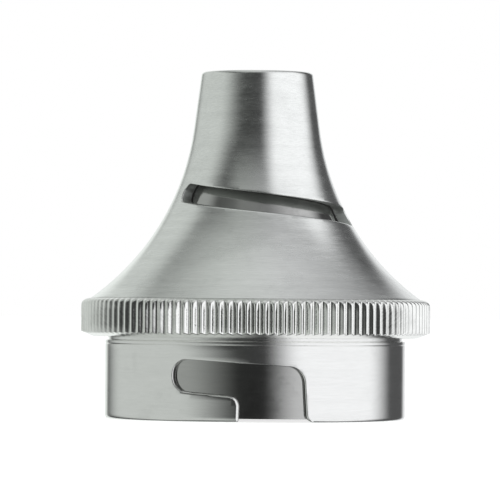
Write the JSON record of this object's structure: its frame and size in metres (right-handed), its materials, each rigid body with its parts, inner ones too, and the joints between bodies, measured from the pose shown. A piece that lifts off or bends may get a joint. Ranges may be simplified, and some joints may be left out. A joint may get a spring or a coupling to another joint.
{
  "type": "otoscope speculum adapter",
  "caption": "Metal nosepiece of an otoscope: slotted trumpet cone on a knurled grip ring, with a viewing tube inside and a bayonet skirt that locks it to the head.",
  "frame": {"origin": "on the adapter's axis at the bottom rim of the bayonet skirt", "axes": "+Z along the viewing axis, from the bayonet skirt to the tip; the first bayonet slot and the neck slot face -Y; +X to the right of that view"},
  "size_m": [0.032, 0.032, 0.0318],
  "materials": {
    "satin_nickel": "fine turned satin",
    "knurled_nickel": "straight knurl",
    "bright_nickel": "smooth turned",
    "dark_nickel": "smooth drawn tube"
  },
  "bodies": {
    "root": {"nose_cone": "satin_nickel", "knurled_grip_ring": "knurled_nickel", "bayonet_skirt": "bright_nickel", "viewing_tube": "dark_nickel"}
  },
  "joints": []
}
